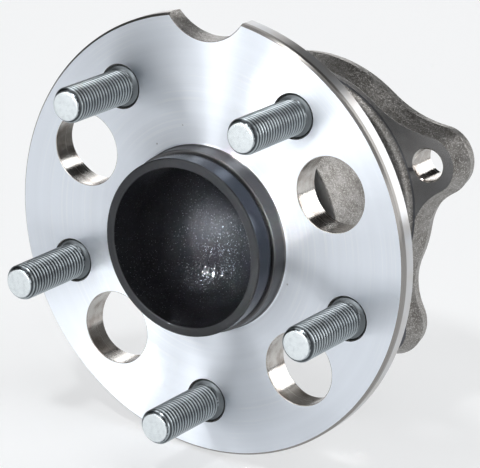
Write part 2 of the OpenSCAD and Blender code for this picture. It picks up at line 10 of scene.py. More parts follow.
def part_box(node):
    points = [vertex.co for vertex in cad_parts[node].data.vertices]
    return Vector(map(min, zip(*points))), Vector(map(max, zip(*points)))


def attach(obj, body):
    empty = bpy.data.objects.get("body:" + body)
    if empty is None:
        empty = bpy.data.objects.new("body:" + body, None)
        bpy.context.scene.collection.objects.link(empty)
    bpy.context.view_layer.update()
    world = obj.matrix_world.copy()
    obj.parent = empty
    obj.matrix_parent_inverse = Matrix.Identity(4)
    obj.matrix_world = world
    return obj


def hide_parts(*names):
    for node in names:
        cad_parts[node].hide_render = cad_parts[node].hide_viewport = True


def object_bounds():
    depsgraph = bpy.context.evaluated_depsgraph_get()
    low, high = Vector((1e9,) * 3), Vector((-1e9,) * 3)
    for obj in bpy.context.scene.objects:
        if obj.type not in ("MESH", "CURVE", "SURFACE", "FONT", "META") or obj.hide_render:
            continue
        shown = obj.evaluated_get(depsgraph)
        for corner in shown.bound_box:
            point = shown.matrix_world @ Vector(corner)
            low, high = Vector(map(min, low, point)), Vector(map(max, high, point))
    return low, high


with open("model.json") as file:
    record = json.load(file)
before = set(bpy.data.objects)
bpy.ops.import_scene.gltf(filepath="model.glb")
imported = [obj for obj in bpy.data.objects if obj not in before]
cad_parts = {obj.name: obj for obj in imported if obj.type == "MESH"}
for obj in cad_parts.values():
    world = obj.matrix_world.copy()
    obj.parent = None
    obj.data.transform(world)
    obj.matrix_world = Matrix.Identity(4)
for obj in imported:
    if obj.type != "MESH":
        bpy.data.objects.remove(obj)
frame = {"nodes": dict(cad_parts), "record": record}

bl_info = {
    "name": "Wheel Hub Bearing Dresser",
    "version": (1, 0, 0),
    "blender": (4, 5, 0),
    "location": "3D View > Sidebar > Hub Bearing",
    "description": "Dresses the packed wheel hub bearing in turned, plated and forged surfaces",
    "category": "Object",
}

MM = 0.001
CAD_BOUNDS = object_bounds()
NODES = frame["nodes"]
MOUNTS = {mount["name"]: mount for mount in frame["record"]["mounts"]}


def mount_size(name, key):
    """A dimension of a mount, as the record gives it."""
    return MOUNTS[name]["dims"][key]


def bolt_place(name):
    """Place across the axle of the right one of a pair of mounting bolts, in metres."""
    return Vector((mount_size(name, "spacing_x_mm") / 2 * MM, MOUNTS[name]["pos_m"][2]))


def low(node):
    """Lowest corner of a CAD node."""
    return Vector(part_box(node)[0])


def high(node):
    """Highest corner of a CAD node."""
    return Vector(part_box(node)[1])


def centre(node):
    """Middle of a CAD node's box."""
    return (low(node) + high(node)) / 2


def axle_distance(point):
    """Distance of a point from the axle."""
    return hypot(point.x, point.z)


# Sizes are in millimetres where nothing else is said. Radii are measured from the axle and places along it
# from the wheel face. A turned outline is a list of (radius, place, corner radius).

# Sizes that the frame gives
NOSE_END = low("hub_spindle").y / MM
HUB_END = high("hub_spindle").y / MM
RING_FRONT = low("outer_ring").y / MM
RING_END = high("outer_ring").y / MM
MOUNT_FACE = MOUNTS["knuckle_face"]["pos_m"][1] / MM
STUD_TIP = low("wheel_stud_1").y / MM
STUD_BACK = high("wheel_stud_1").y / MM
STUD_COUNT = mount_size("wheel_studs", "count")
STUD_CIRCLE_R = mount_size("wheel_studs", "pcd_mm") / 2
STUD_R = mount_size("wheel_studs", "stud_r_mm")
PILOT_R = mount_size("wheel_pilot", "r_mm")
BRAKE_PILOT_R = mount_size("brake_pilot", "r_mm")
SPIGOT_R = mount_size("knuckle_spigot", "r_mm")
UPPER_BOLT = bolt_place("knuckle_bolts_upper")
LOWER_BOLT = bolt_place("knuckle_bolts_lower")
BOLT_CIRCLE_R = UPPER_BOLT.length / MM
EAR_DIRECTIONS = (
    atan2(UPPER_BOLT.y, UPPER_BOLT.x),
    atan2(UPPER_BOLT.y, -UPPER_BOLT.x),
    atan2(LOWER_BOLT.y, -LOWER_BOLT.x) % (2 * pi),
    atan2(LOWER_BOLT.y, LOWER_BOLT.x) % (2 * pi),
)
# Turn of the hub at rest, from the place of the first stud below the axle
HUB_TURN = atan2(centre("wheel_stud_1").z, centre("wheel_stud_1").x) + pi / 2

# Hub
FLANGE_R = 75.0
FLANGE_BACK = 10.5
FLAT_BACK_R = 56.0
RIM_BACK = 6.5
RIM_CHAMFER = 0.8
# Width of the band of painted shade along the rim's front edge
RIM_SHADE_BAND = 2.1
BRAKE_PILOT_OUT = 6.0
PILOT_FILLET = 1.3
GROOVE_WIDTH = 0.8
GROOVE_DEPTH = 0.6
DISH_R = 25.7
DISH_CENTRE = -4.0
DISH_MOUTH_R = 26.9
ACCESS_R = 12.45
NOTCH_R = 17.0
NOTCH_CIRCLE_R = 83.2
NECK_R = 29.5
NECK_FILLET = 5.0
LAND_R = 25.1
LAND_END = 40.5
SPINDLE_R = 20.5
SPINDLE_END = 65.5
SPINDLE_THREAD_R = 12.0

# Raceways
BALL_CIRCLE_R = 31.0
RACE_R = 6.0
OUTBOARD_ROW = 27.0
INBOARD_ROW = 54.0

# Studs, with a thread whose depth is a share of its pitch
THREAD_SHARE = 0.613
THREAD_START = STUD_TIP + 0.5
THREAD_END = -0.7
SPLINE_R = STUD_R + 1.15
SPLINE_TOOTH = 0.16
STUD_SEAT = 8.4
STUD_HEAD_R = 9.5
STUD_DIMPLE_R = 4.2
STUD_TIP_R = 3.4
SPOT_FACE_R = 10.5

# Outer ring, whose flange is hollowed between its ears by a base radius that blends into them
EAR_FRONT = 58.6
EAR_R = 12.2
PARTING = 66.0
CROWN_R, CROWN_BLEND = 49.0, 40.0
WAIST_R, WAIST_BLEND = 46.8, 20.0
BARREL_FRONT_R = 41.7
BARREL_BACK_R = 42.7
BARREL_FILLET = 2.5
SEAT_R = 37.5
SHOULDER_R = 36.9
SEAL_SEAT = 5.0
CAP_SEAT = 9.0
BOLT_HOLE_R = 5.5
BOLT_CHAMFER = 0.5

# Cap, whose floor is grooved and has a hole for the sensor
CAP_FLOOR = 86.0
CAP_WALL = 1.2
CAP_SLEEVE = 8.0
CAP_BEAD_R = 39.2
CAP_GROOVE_R = 32.7
CAP_GROOVE_DEPTH = 0.3
SENSOR_HOLE_R = 3.0
SENSOR_HOLE_RISE = 3.1

# How far cutters reach past what they cut
PAST = 1
# Radius under which a point is on the axis
ON_AXIS = 1e-6
# Vertices this close are merged, in metres
MERGED = 1e-7
# A face counts as flat when this share of its normal lies along the axle
FLAT = 0.97
# Middle of the patch in the dish where more crystals are bright and glossy, placed where the lamps'
# highlight falls, partly a painted glint highlight; seen with the hub upright, in metres
GLINT_HIGHLIGHT_PATCH = (-0.0075, 0.0125, -0.0183)
# Centre of the cutter that milled the mounting flange, left of the axle, in metres
MILLING_CENTRE = 0.2
# Distances between which the floor's glow fades, in metres
GLOW_FADE = (0.5, 2.5)
# Gap between the part and the floor, and the floor's half width, in metres
FLOOR_GAP = 0.0005
FLOOR_REACH = 4.0
SEED = 7


def around(radius, angle):
    """Place across the axle at a distance and an angle from it."""
    return (radius * cos(angle), radius * sin(angle))


BOLT_PLACES = [around(BOLT_CIRCLE_R, angle) for angle in EAR_DIRECTIONS]
ACCESS_PLACES = [around(BOLT_CIRCLE_R, angle + HUB_TURN) for angle in EAR_DIRECTIONS]
STUD_PLACES = [
    around(STUD_CIRCLE_R, 2 * pi * count / STUD_COUNT - pi / 2 + HUB_TURN) for count in range(STUD_COUNT)
]
NOTCH_PLACE = around(NOTCH_CIRCLE_R, pi / 2 + HUB_TURN)


def as_packed(vector):
    """Turns a place or direction seen with the hub upright into the frame, where the hub is turned."""
    x, y, z = vector
    return Vector((x * cos(HUB_TURN) - z * sin(HUB_TURN), y, x * sin(HUB_TURN) + z * cos(HUB_TURN)))


class DresserError(Exception):
    """A step of the dressing that can't be finished."""


# Node writing


class Wire:
    """A node's output that Python's operators work on, each by adding a Math node."""

    def __init__(self, book, socket):
        self.book = book
        self.socket = socket

    def math(self, operation, *values):
        """A Math node on the given values."""
        return self.book.node("ShaderNodeMath", {"operation": operation}, dict(enumerate(values)))

    def __add__(self, other):
        return self.math("ADD", self, other)

    __radd__ = __add__

    def __sub__(self, other):
        return self.math("SUBTRACT", self, other)

    def __rsub__(self, other):
        return self.math("SUBTRACT", other, self)

    def __mul__(self, other):
        return self.math("MULTIPLY", self, other)

    __rmul__ = __mul__

    def __truediv__(self, other):
        return self.math("DIVIDE", self, other)

    def __rtruediv__(self, other):
        return self.math("DIVIDE", other, self)

    def __pow__(self, other):
        return self.math("POWER", self, other)

    def __rpow__(self, other):
        return self.math("POWER", other, self)

    def step(self, start, end):
        """0 below start, 1 above end and a smooth rise between them."""
        return self.book.node(
            "ShaderNodeMapRange",
            {"interpolation_type": "SMOOTHSTEP"},
            {"Value": self, "From Min": start, "From Max": end},
        )


class NodeBook:
    """Writes nodes into one tree, for a material or for Geometry Nodes."""

    def __init__(self, tree):
        self.tree = tree

    def put(self, socket, value):
        """Links a wire to a socket or sets the socket's value, with full opacity for a colour."""
        if isinstance(value, Wire):
            self.tree.links.new(value.socket, socket)
        elif socket.type == "RGBA":
            socket.default_value = (*value, 1.0)
        else:
            socket.default_value = value

    def node(self, kind, settings=None, values=None, output=0):
        """A node with its settings and the values or wires of its sockets, as one of its outputs."""
        made = self.tree.nodes.new(kind)
        for name, setting in (settings or {}).items():
            setattr(made, name, setting)
        for name, value in (values or {}).items():
            self.put(made.inputs[name], value)
        return Wire(self, made.outputs[output]) if made.outputs else made

    def vector(self, operation, *values, output="Vector"):
        """A Vector Math node on the given values."""
        return self.node("ShaderNodeVectorMath", {"operation": operation}, dict(enumerate(values)), output)


class Finish(NodeBook):
    """A material in the making. Colours are linear, and the sizes of its marks are in metres."""

    def __init__(self, name):
        self.material = bpy.data.materials.new(name)
        self.material.use_nodes = True
        super().__init__(self.material.node_tree)
        self.tree.nodes.clear()
        self.place = self.node("ShaderNodeTexCoord", output="Object")

    def split(self):
        """The three coordinates of a point of the surface."""
        parts = self.node("ShaderNodeSeparateXYZ", values={"Vector": self.place}).socket.node
        return [Wire(self, socket) for socket in parts.outputs]

    def axle_radius(self):
        """Distance from the axle."""
        across = self.vector("MULTIPLY", self.place, (1.0, 0.0, 1.0))
        return self.vector("LENGTH", across, output="Value")

    def grain(self, size, detail=2.0, roughness=0.5):
        """Soft noise whose lumps measure about size."""
        return self.node(
            "ShaderNodeTexNoise",
            values={"Vector": self.place, "Scale": 1.0 / size, "Detail": detail, "Roughness": roughness},
        )

    def rings(self, value, size, detail=3.0):
        """Noise that changes only with value, as the lines that a lathe tool leaves do."""
        return self.node(
            "ShaderNodeTexNoise",
            {"noise_dimensions": "1D"},
            {"W": value / size, "Scale": 1.0, "Detail": detail, "Roughness": 0.6},
        )

    def blend(self, factor, first, second):
        """A colour between two others."""
        return self.node(
            "ShaderNodeMix",
            {"data_type": "RGBA", "clamp_factor": True},
            {0: factor, 6: first, 7: second},
            output=2,
        )

    def bumped(self, height, depth, strength=1.0, over=None):
        """A normal that follows a height over a depth, and leans on another normal if one is given."""
        values = {"Height": height, "Distance": depth, "Strength": strength}
        if over is not None:
            values["Normal"] = over
        return self.node("ShaderNodeBump", values=values)

    def crystals(self, size, tilt):
        """A normal that leans at random from one crystal to the next, and a random number for each."""
        spots = {"Vector": self.place, "Scale": 1.0 / size}
        cells = self.node("ShaderNodeTexVoronoi", values=spots, output="Color")
        lean = self.vector("MULTIPLY_ADD", cells, (2 * tilt,) * 3, (-tilt,) * 3)
        outward = self.node("ShaderNodeNewGeometry", output="Normal")
        luck = self.node("ShaderNodeTexWhiteNoise", values={"Vector": cells}, output="Value")
        return self.vector("NORMALIZE", self.vector("ADD", outward, lean)), luck

    def lay(self, along):
        """Direction across the tool marks: out from the axle on a face, turning to along it on a shaft."""
        across = self.vector("MULTIPLY_ADD", self.place, (1.0 - along, 0.0, 1.0 - along), (0.0, 0.05, 0.0))
        return self.node(
            "ShaderNodeVectorTransform",
            {"vector_type": "VECTOR", "convert_from": "OBJECT", "convert_to": "WORLD"},
            {"Vector": across},
        )

    def done(self, base, roughness, metallic=1.0, **inputs):
        """The finished material, with further inputs of its shader by name."""
        values = {"Base Color": base, "Roughness": roughness, "Metallic": metallic}
        for name, value in inputs.items():
            values[name.replace("_", " ")] = value
        shader = self.node("ShaderNodeBsdfPrincipled", values=values)
        self.node("ShaderNodeOutputMaterial", values={"Surface": shader})
        return self.material


# Finishes


def shaded(tint, factor):
    """A colour made darker or lighter by a factor."""
    return tuple(factor * value for value in tint)


def turned_face_finish(tint):
    """Bright face turning: streaks round the axle and a few specks of dust in the marks."""
    finish = Finish("turned_face")
    radius = finish.axle_radius()
    cuts = finish.rings(radius, 0.0006, 4.0)
    bands = finish.rings(radius, 0.006, 2.0)
    spots = {"Vector": finish.place, "Scale": 190.0, "Randomness": 1.0}
    specks = finish.node("ShaderNodeTexVoronoi", values=spots, output="Distance")
    dust = (1.0 - specks.step(0.04, 0.09)) * finish.grain(0.02).step(0.56, 0.6)
    streaks = finish.rings(radius, 0.0011, 2.0).step(0.5, 0.68) * finish.grain(0.022, 1.0).step(0.44, 0.62)
    colour = finish.blend(0.35 * bands, tint, shaded(tint, 0.72))
    colour = finish.blend(0.35 * streaks, colour, (0.95, 0.98, 1.0))
    return finish.done(
        finish.blend(dust, colour, (0.12, 0.12, 0.12)),
        0.33 + 0.1 * cuts + 0.05 * finish.grain(0.03),
        Normal=finish.bumped(cuts, 0.00002, 0.25),
        Tangent=finish.lay(0.0),
        Anisotropic=1.0,
    )


def turned_rim_finish(tint):
    """Turned edge of the flange: a band of painted shade along its front edge, and lines round its side."""
    finish = Finish("turned_rim")
    _, along, _ = finish.split()
    cuts = finish.rings(along, 0.0004)
    side = finish.blend(finish.grain(0.008), shaded(tint, 0.7), (0.52, 0.485, 0.445))
    # Painted shade: the rim is darker in a band along its front edge
    behind_painted_shade = along.step(RIM_SHADE_BAND * MM, (RIM_SHADE_BAND + 0.3) * MM)
    return finish.done(
        finish.blend(behind_painted_shade, (0.27, 0.26, 0.25), side),
        0.28 + 0.12 * cuts,
        Normal=finish.bumped(cuts, 0.00002, 0.3),
        Tangent=finish.lay(0.9),
        Anisotropic=0.8,
    )


def bored_steel_finish():
    """Drilled hole walls: fine lines round the hole, bright with brownish smears."""
    finish = Finish("bored_steel")
    _, along, _ = finish.split()
    cuts = finish.rings(along + 0.0006 * finish.grain(0.01), 0.0007)
    smears = finish.grain(0.006, 3.0).step(0.4, 0.7)
    return finish.done(
        finish.blend(smears, (0.54, 0.525, 0.5), (0.33, 0.295, 0.27)),
        0.15 + 0.18 * cuts,
        Normal=finish.bumped(cuts, 0.00003, 0.3),
        Tangent=finish.lay(1.0),
        Anisotropic=0.8,
    )


def dark_turned_finish(name, tint, roughness, gloss=0.6):
    """Darker turned steel, such as the hardened pilots, with lines round the axle."""
    finish = Finish(name)
    _, along, _ = finish.split()
    cuts = finish.rings(along + finish.axle_radius(), 0.0005)
    return finish.done(
        finish.blend(finish.grain(0.01, 3.0), tint, shaded(tint, 0.7)),
        roughness + 0.1 * cuts,
        Normal=finish.bumped(cuts, 0.00002, 0.3),
        Tangent=finish.lay(0.5),
        Anisotropic=gloss,
    )


def forged_dish_finish():
    """Black scale inside the hollow nose, with a patch of brighter, glossier crystals where the lamps'
    highlight falls: partly a painted glint highlight.
    """
    finish = Finish("forged_dish")
    facets, luck = finish.crystals(0.0002, 0.14)
    apart = finish.vector("DISTANCE", finish.place, as_packed(GLINT_HIGHLIGHT_PATCH), output="Value")
    # Partly painted glint highlight: crystals are brighter and glossier near the patch, more of them the
    # nearer they lie
    glint = (luck - 0.22 * apart.step(0.001, 0.014)).step(0.74, 0.78)
    scale = finish.blend(finish.grain(0.004), (0.019, 0.02, 0.023), (0.026, 0.028, 0.032))
    colour = finish.blend(glint, scale, (0.3, 0.33, 0.36))
    return finish.done(colour, 0.52 - 0.28 * glint, Normal=facets)


def zinc_finish(tint):
    """Zinc plating: bluish, cloudy, with painted shade down the thread's flanks and roots and behind it, and
    a lighter tip.
    """
    finish = Finish("zinc_plating")
    clouds = finish.grain(0.004, 3.0)
    fine = finish.grain(0.0005, 2.0)
    layer = {"attribute_type": "GEOMETRY", "attribute_name": "crest"}
    crest = finish.node("ShaderNodeAttribute", layer, output="Fac")
    plate = finish.blend(clouds.step(0.35, 0.7), tint, shaded(tint, 0.8))
    # Painted shade: the crest attribute darkens the thread's roots and flanks and the hollow behind it,
    # which leaves the crests as bright lines
    colour = finish.blend(crest.step(0.45, 1.0), (0.06, 0.067, 0.073), plate)
    tip = finish.blend(finish.grain(0.0016).step(0.4, 0.8), (0.75, 0.8, 0.82), (0.66, 0.71, 0.735))
    return finish.done(
        finish.blend(crest.step(1.0, 2.0), colour, tip),
        0.3 + 0.1 * clouds - 0.06 * crest,
        Normal=finish.bumped(fine, 0.00004, 0.25),
    )


def forging_finish(name, lightness):
    """Shot-blasted forging: tiny dents with glinting walls on a brownish grey."""
    finish = Finish(name)
    facets, luck = finish.crystals(0.0003, 0.16)
    lumps = finish.grain(0.004, 2.0)
    tints = ((0.15, 0.142, 0.132), (0.22, 0.213, 0.204), (0.37, 0.362, 0.35))
    dark, light, glint = (shaded(tint, lightness) for tint in tints)
    colour = finish.blend(luck.step(0.6, 1.0), finish.blend(lumps.step(0.3, 0.7), dark, light), glint)
    return finish.done(colour, 0.36 + 0.12 * luck, Normal=finish.bumped(lumps, 0.0006, 0.5, facets))


def milled_finish():
    """Milled faces of the mounting flange: dark steel with faint arcs of the cutter."""
    finish = Finish("milled_flange")
    x, _, z = finish.split()
    arcs = finish.rings(((x + MILLING_CENTRE) ** 2.0 + z ** 2.0) ** 0.5, 0.0012)
    colour = finish.blend(finish.grain(0.02), (0.2, 0.21, 0.235), (0.13, 0.13, 0.133))
    return finish.done(colour, 0.32 + 0.15 * arcs, Normal=finish.bumped(arcs, 0.00003, 0.4))


def ground_finish(name, tint, roughness=0.12):
    """Ground and honed bearing steel."""
    finish = Finish(name)
    marks = finish.grain(0.0008, 2.0)
    colour = finish.blend(finish.grain(0.02, 2.0).step(0.3, 0.7), tint, shaded(tint, 0.85))
    return finish.done(colour, roughness + 0.08 * marks, Normal=finish.bumped(marks, 0.00001, 0.2))


def pressed_sheet_finish(name, tint):
    """Pressed sheet steel with soft drawing marks."""
    finish = Finish(name)
    drawing = finish.grain(0.004, 3.0)
    fine = finish.grain(0.0006, 2.0)
    colour = finish.blend(drawing.step(0.3, 0.7), tint, shaded(tint, 0.75))
    return finish.done(colour, 0.3 + 0.15 * drawing, Normal=finish.bumped(fine, 0.00004, 0.3))


def moulded_finish(name, dark, light, roughness):
    """Moulded rubber or plastic with a fine grain."""
    finish = Finish(name)
    clouds = finish.grain(0.01, 3.0)
    fine = finish.grain(0.0007, 3.0, 0.6)
    return finish.done(
        finish.blend(clouds.step(0.3, 0.7), dark, light),
        roughness + 0.12 * fine,
        0.0,
        Normal=finish.bumped(fine, 0.00008, 0.35),
    )


def paper_finish(tint, glow_strength):
    """White floor that passes on some light, less and less away from the part."""
    finish = Finish("floor_paper")
    fibre = finish.grain(0.002, 3.0)
    x, y, _ = finish.split()
    away = ((x ** 2.0 + y ** 2.0) ** 0.5).step(*GLOW_FADE)
    return finish.done(
        finish.blend(0.15 * finish.grain(0.3), tint, (0.43, 0.435, 0.445)),
        0.6 + 0.1 * fibre,
        0.0,
        Specular_IOR_Level=0.2,
        Emission_Color=finish.blend(away, tint, (0.26, 0.26, 0.265)),
        Emission_Strength=glow_strength,
    )


# Shapes


def arc(centre_r, centre_s, radius, start, end, steps):
    """Points of an outline along an arc, with angles in degrees from the radial direction towards +Y."""
    return [
        (centre_r + radius * cos(radians(angle)), centre_s + radius * sin(radians(angle)), 0)
        for angle in (start + (end - start) * step / steps for step in range(steps + 1))
    ]


def rounded(outline, steps=3):
    """An outline with an arc in place of each corner that has a radius."""
    points = []
    for count, (r, s, radius) in enumerate(outline):
        corner = Vector((r, s))
        if radius == 0:
            points.append(corner)
            continue
        before = (Vector(outline[count - 1][:2]) - corner).normalized()
        after = (Vector(outline[(count + 1) % len(outline)][:2]) - corner).normalized()
        half = before.angle(after) / 2
        middle = corner + (before + after).normalized() * radius / sin(half)
        start = corner + before * radius / tan(half) - middle
        end = corner + after * radius / tan(half) - middle
        points += [middle + radius * start.slerp(end, step / steps) for step in range(steps + 1)]
    return points


def new_piece(name, book):
    """A mesh object from a bmesh, which is freed."""
    mesh = bpy.data.meshes.new(name)
    book.to_mesh(mesh)
    book.free()
    piece = bpy.data.objects.new(name, mesh)
    bpy.context.scene.collection.objects.link(piece)
    return piece


def join_rings(book, first, second):
    """Faces between two rings of vertices, where one of them may be a single vertex on the axis."""
    segments = max(len(first), len(second))
    for step in range(segments if segments > 1 else 0):
        after = (step + 1) % segments
        corners = [
            first[step % len(first)],
            first[after % len(first)],
            second[after % len(second)],
            second[step % len(second)],
        ]
        book.faces.new(list(dict.fromkeys(corners)))


def turned(name, outline, segments=256, about=(0.0, 0.0)):
    """A body turned about a line along the axle. Its outline is a ring, or starts and ends on the line."""
    book = bmesh.new()
    rings = []
    for r, s in rounded(outline):
        turns = 1 if r < ON_AXIS else segments
        places = (around(r, 2 * pi * step / segments) for step in range(turns))
        rings.append([book.verts.new(((about[0] + x) * MM, s * MM, (about[1] + z) * MM)) for x, z in places])
    pairs = list(zip(rings, rings[1:]))
    if len(rings[0]) > 1:
        pairs.append((rings[-1], rings[0]))
    for first, second in pairs:
        join_rings(book, first, second)
    bmesh.ops.recalc_face_normals(book, faces=book.faces)
    return new_piece(name, book)


def baked(piece):
    """Turns a piece with modifiers into its plain mesh."""
    graph = bpy.context.evaluated_depsgraph_get()
    before = piece.data
    shape = piece.evaluated_get(graph)
    mesh = bpy.data.meshes.new_from_object(shape, preserve_all_data_layers=True, depsgraph=graph)
    piece.modifiers.clear()
    piece.data = mesh
    bpy.data.meshes.remove(before)
    return piece


def discard(piece):
    """Deletes a piece and its mesh."""
    mesh = piece.data
    bpy.data.objects.remove(piece)
    bpy.data.meshes.remove(mesh)


def joined(tools):
    """One object from several that don't touch."""
    book = bmesh.new()
    for tool in tools:
        book.from_mesh(tool.data)
        discard(tool)
    return new_piece("tool", book)


def combined(piece, tool, operation):
    """Adds or takes away a tool, exactly."""
    modifier = piece.modifiers.new("combine", "BOOLEAN")
    modifier.operation = operation
    modifier.solver = "EXACT"
    modifier.object = tool
    baked(piece)
    discard(tool)
    if not piece.data.polygons:
        raise DresserError(f"{piece.name} came out empty")


def smoothed(piece, angle=32.0):
    """Smooth shading that keeps flat faces flat beside their small rounded edges."""
    piece.data.shade_smooth()
    piece.data.set_sharp_from_angle(angle=radians(angle))
    modifier = piece.modifiers.new("weighted", "WEIGHTED_NORMAL")
    modifier.keep_sharp = True
    modifier.weight = 50
    return baked(piece)


def painted(piece, finishes, region=None):
    """Gives each face the finish whose name region returns for its middle and normal."""
    mesh = piece.data
    mesh.materials.clear()
    names = list(finishes)
    for name in names:
        mesh.materials.append(finishes[name])
    for polygon in mesh.polygons:
        polygon.material_index = names.index(region(polygon.center, polygon.normal)) if region else 0
    return piece


def dressed(piece, body, slot, *nodes):
    """Puts a piece on its body, in the place of its CAD nodes."""
    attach(piece, body)
    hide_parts(*nodes)


def refined(node, name, bevel=0.0):
    """A merged copy of a CAD node, with its edges softened by bevel."""
    book = bmesh.new()
    book.from_mesh(NODES[node].data)
    bmesh.ops.remove_doubles(book, verts=book.verts, dist=MERGED)
    bmesh.ops.dissolve_limit(book, angle_limit=radians(0.5), verts=book.verts, edges=book.edges)
    piece = new_piece(name, book)
    if bevel:
        modifier = piece.modifiers.new("edge", "BEVEL")
        modifier.width = bevel * MM
        modifier.segments = 2
        modifier.limit_method = "ANGLE"
        modifier.angle_limit = radians(35)
        modifier.harden_normals = False
        baked(piece)
    return smoothed(piece)


def dress_node(node, body, slot, finish, bevel=0.0):
    """Dresses a CAD node that keeps its own shape."""
    piece = painted(refined(node, f"{node}_dressed", bevel), {slot: finish})
    dressed(piece, body, slot, node)


def near(point, place, reach):
    """Whether a point of a mesh lies within reach of a place across the axle."""
    return hypot(point.x / MM - place[0], point.z / MM - place[1]) < reach


# Hub


def hub_outline(soft):
    """Outline of the hub from the bottom of its dish, round the flange, to the end of its thread."""
    groove_r = PILOT_R - GROOVE_DEPTH
    groove_front = -BRAKE_PILOT_OUT - GROOVE_WIDTH
    return (
        arc(0, DISH_CENTRE, DISH_R, 90, 0, 20)
        + [
            (DISH_MOUTH_R, NOSE_END, 0.35), (PILOT_R, NOSE_END, 0.6),
            (PILOT_R, groove_front, 0.12), (groove_r, groove_front, 0.1),
            (groove_r, -BRAKE_PILOT_OUT, 0.1), (BRAKE_PILOT_R, -BRAKE_PILOT_OUT, 0.4),
        ]
        + arc(BRAKE_PILOT_R + PILOT_FILLET, -PILOT_FILLET, PILOT_FILLET, 180, 90, 5)
        + [
            (FLANGE_R - RIM_CHAMFER, 0, soft), (FLANGE_R, RIM_CHAMFER, soft),
            (FLANGE_R, RIM_BACK, 0.5), (FLAT_BACK_R, FLANGE_BACK, 1.5),
        ]
        + arc(NECK_R + NECK_FILLET, FLANGE_BACK + NECK_FILLET, NECK_FILLET, 270, 180, 8)
        + arc(BALL_CIRCLE_R, OUTBOARD_ROW, RACE_R, 255.5, 169.5, 14)
        + [
            (LAND_R, LAND_END, 0.4), (SPINDLE_R, LAND_END, 0.2),
            (SPINDLE_R, SPINDLE_END, 0.4), (SPINDLE_THREAD_R, SPINDLE_END, 0.2),
            (SPINDLE_THREAD_R, HUB_END, 0.6), (0, HUB_END, 0),
        ]
    )


def through_tool(name, place, radius, soft, segments):
    """Cutter for a hole through the flange, flared to leave both mouths rounded."""
    front_mouth = [
        (radius + soft, -PAST, 0), (radius + soft, -0.02, 0),
        (radius + 0.3 * soft, 0.3 * soft, 0), (radius, soft, 0),
    ]
    back_mouth = [(r, FLANGE_BACK - s, 0) for r, s, _ in reversed(front_mouth)]
    outline = [(0, -PAST, 0)] + front_mouth + back_mouth + [(0, FLANGE_BACK + PAST, 0)]
    return turned(name, outline, segments, place)


def stud_hole_tool(name, place):
    """Cutter for a stud's hole, its chamfered mouth and the spot face under its head."""
    behind = FLANGE_BACK + 2.5
    outline = [
        (0, -0.5, 0), (SPLINE_R + 1, -0.5, 0),
        (SPLINE_R, 0.5, 0), (SPLINE_R, STUD_SEAT, 0),
        (SPOT_FACE_R, STUD_SEAT, 0.4), (SPOT_FACE_R, behind, 0),
        (0, behind, 0),
    ]
    return turned(name, outline, 64, place)


def hub_region(middle, normal):
    """Name of the finish at a place of the hub."""
    radius, place = axle_distance(middle) / MM, middle.y / MM
    if radius < DISH_R + 1 and place < DISH_CENTRE + DISH_R + 0.3:
        return "dish"
    if place < NOSE_END + 0.65:
        return "nose_end"
    if place < -BRAKE_PILOT_OUT - 0.1:
        return "nose"
    if place < -0.35:
        return "pilot"
    if radius < NECK_R + NECK_FILLET - 0.1 and place > FLANGE_BACK - 0.1:
        return "shaft"
    if abs(normal.y) < FLAT:
        if near(middle, NOTCH_PLACE, NOTCH_R + 0.6):
            return "notch"
        if any(near(middle, hole, ACCESS_R + 0.5) for hole in ACCESS_PLACES):
            return "bore"
        if any(near(middle, hole, SPLINE_R + 1.15) for hole in STUD_PLACES):
            return "bore"
    if radius > FLANGE_R - 0.75 and place > 0.05:
        return "rim"
    return "face" if place < 0.9 else "back"


# Studs


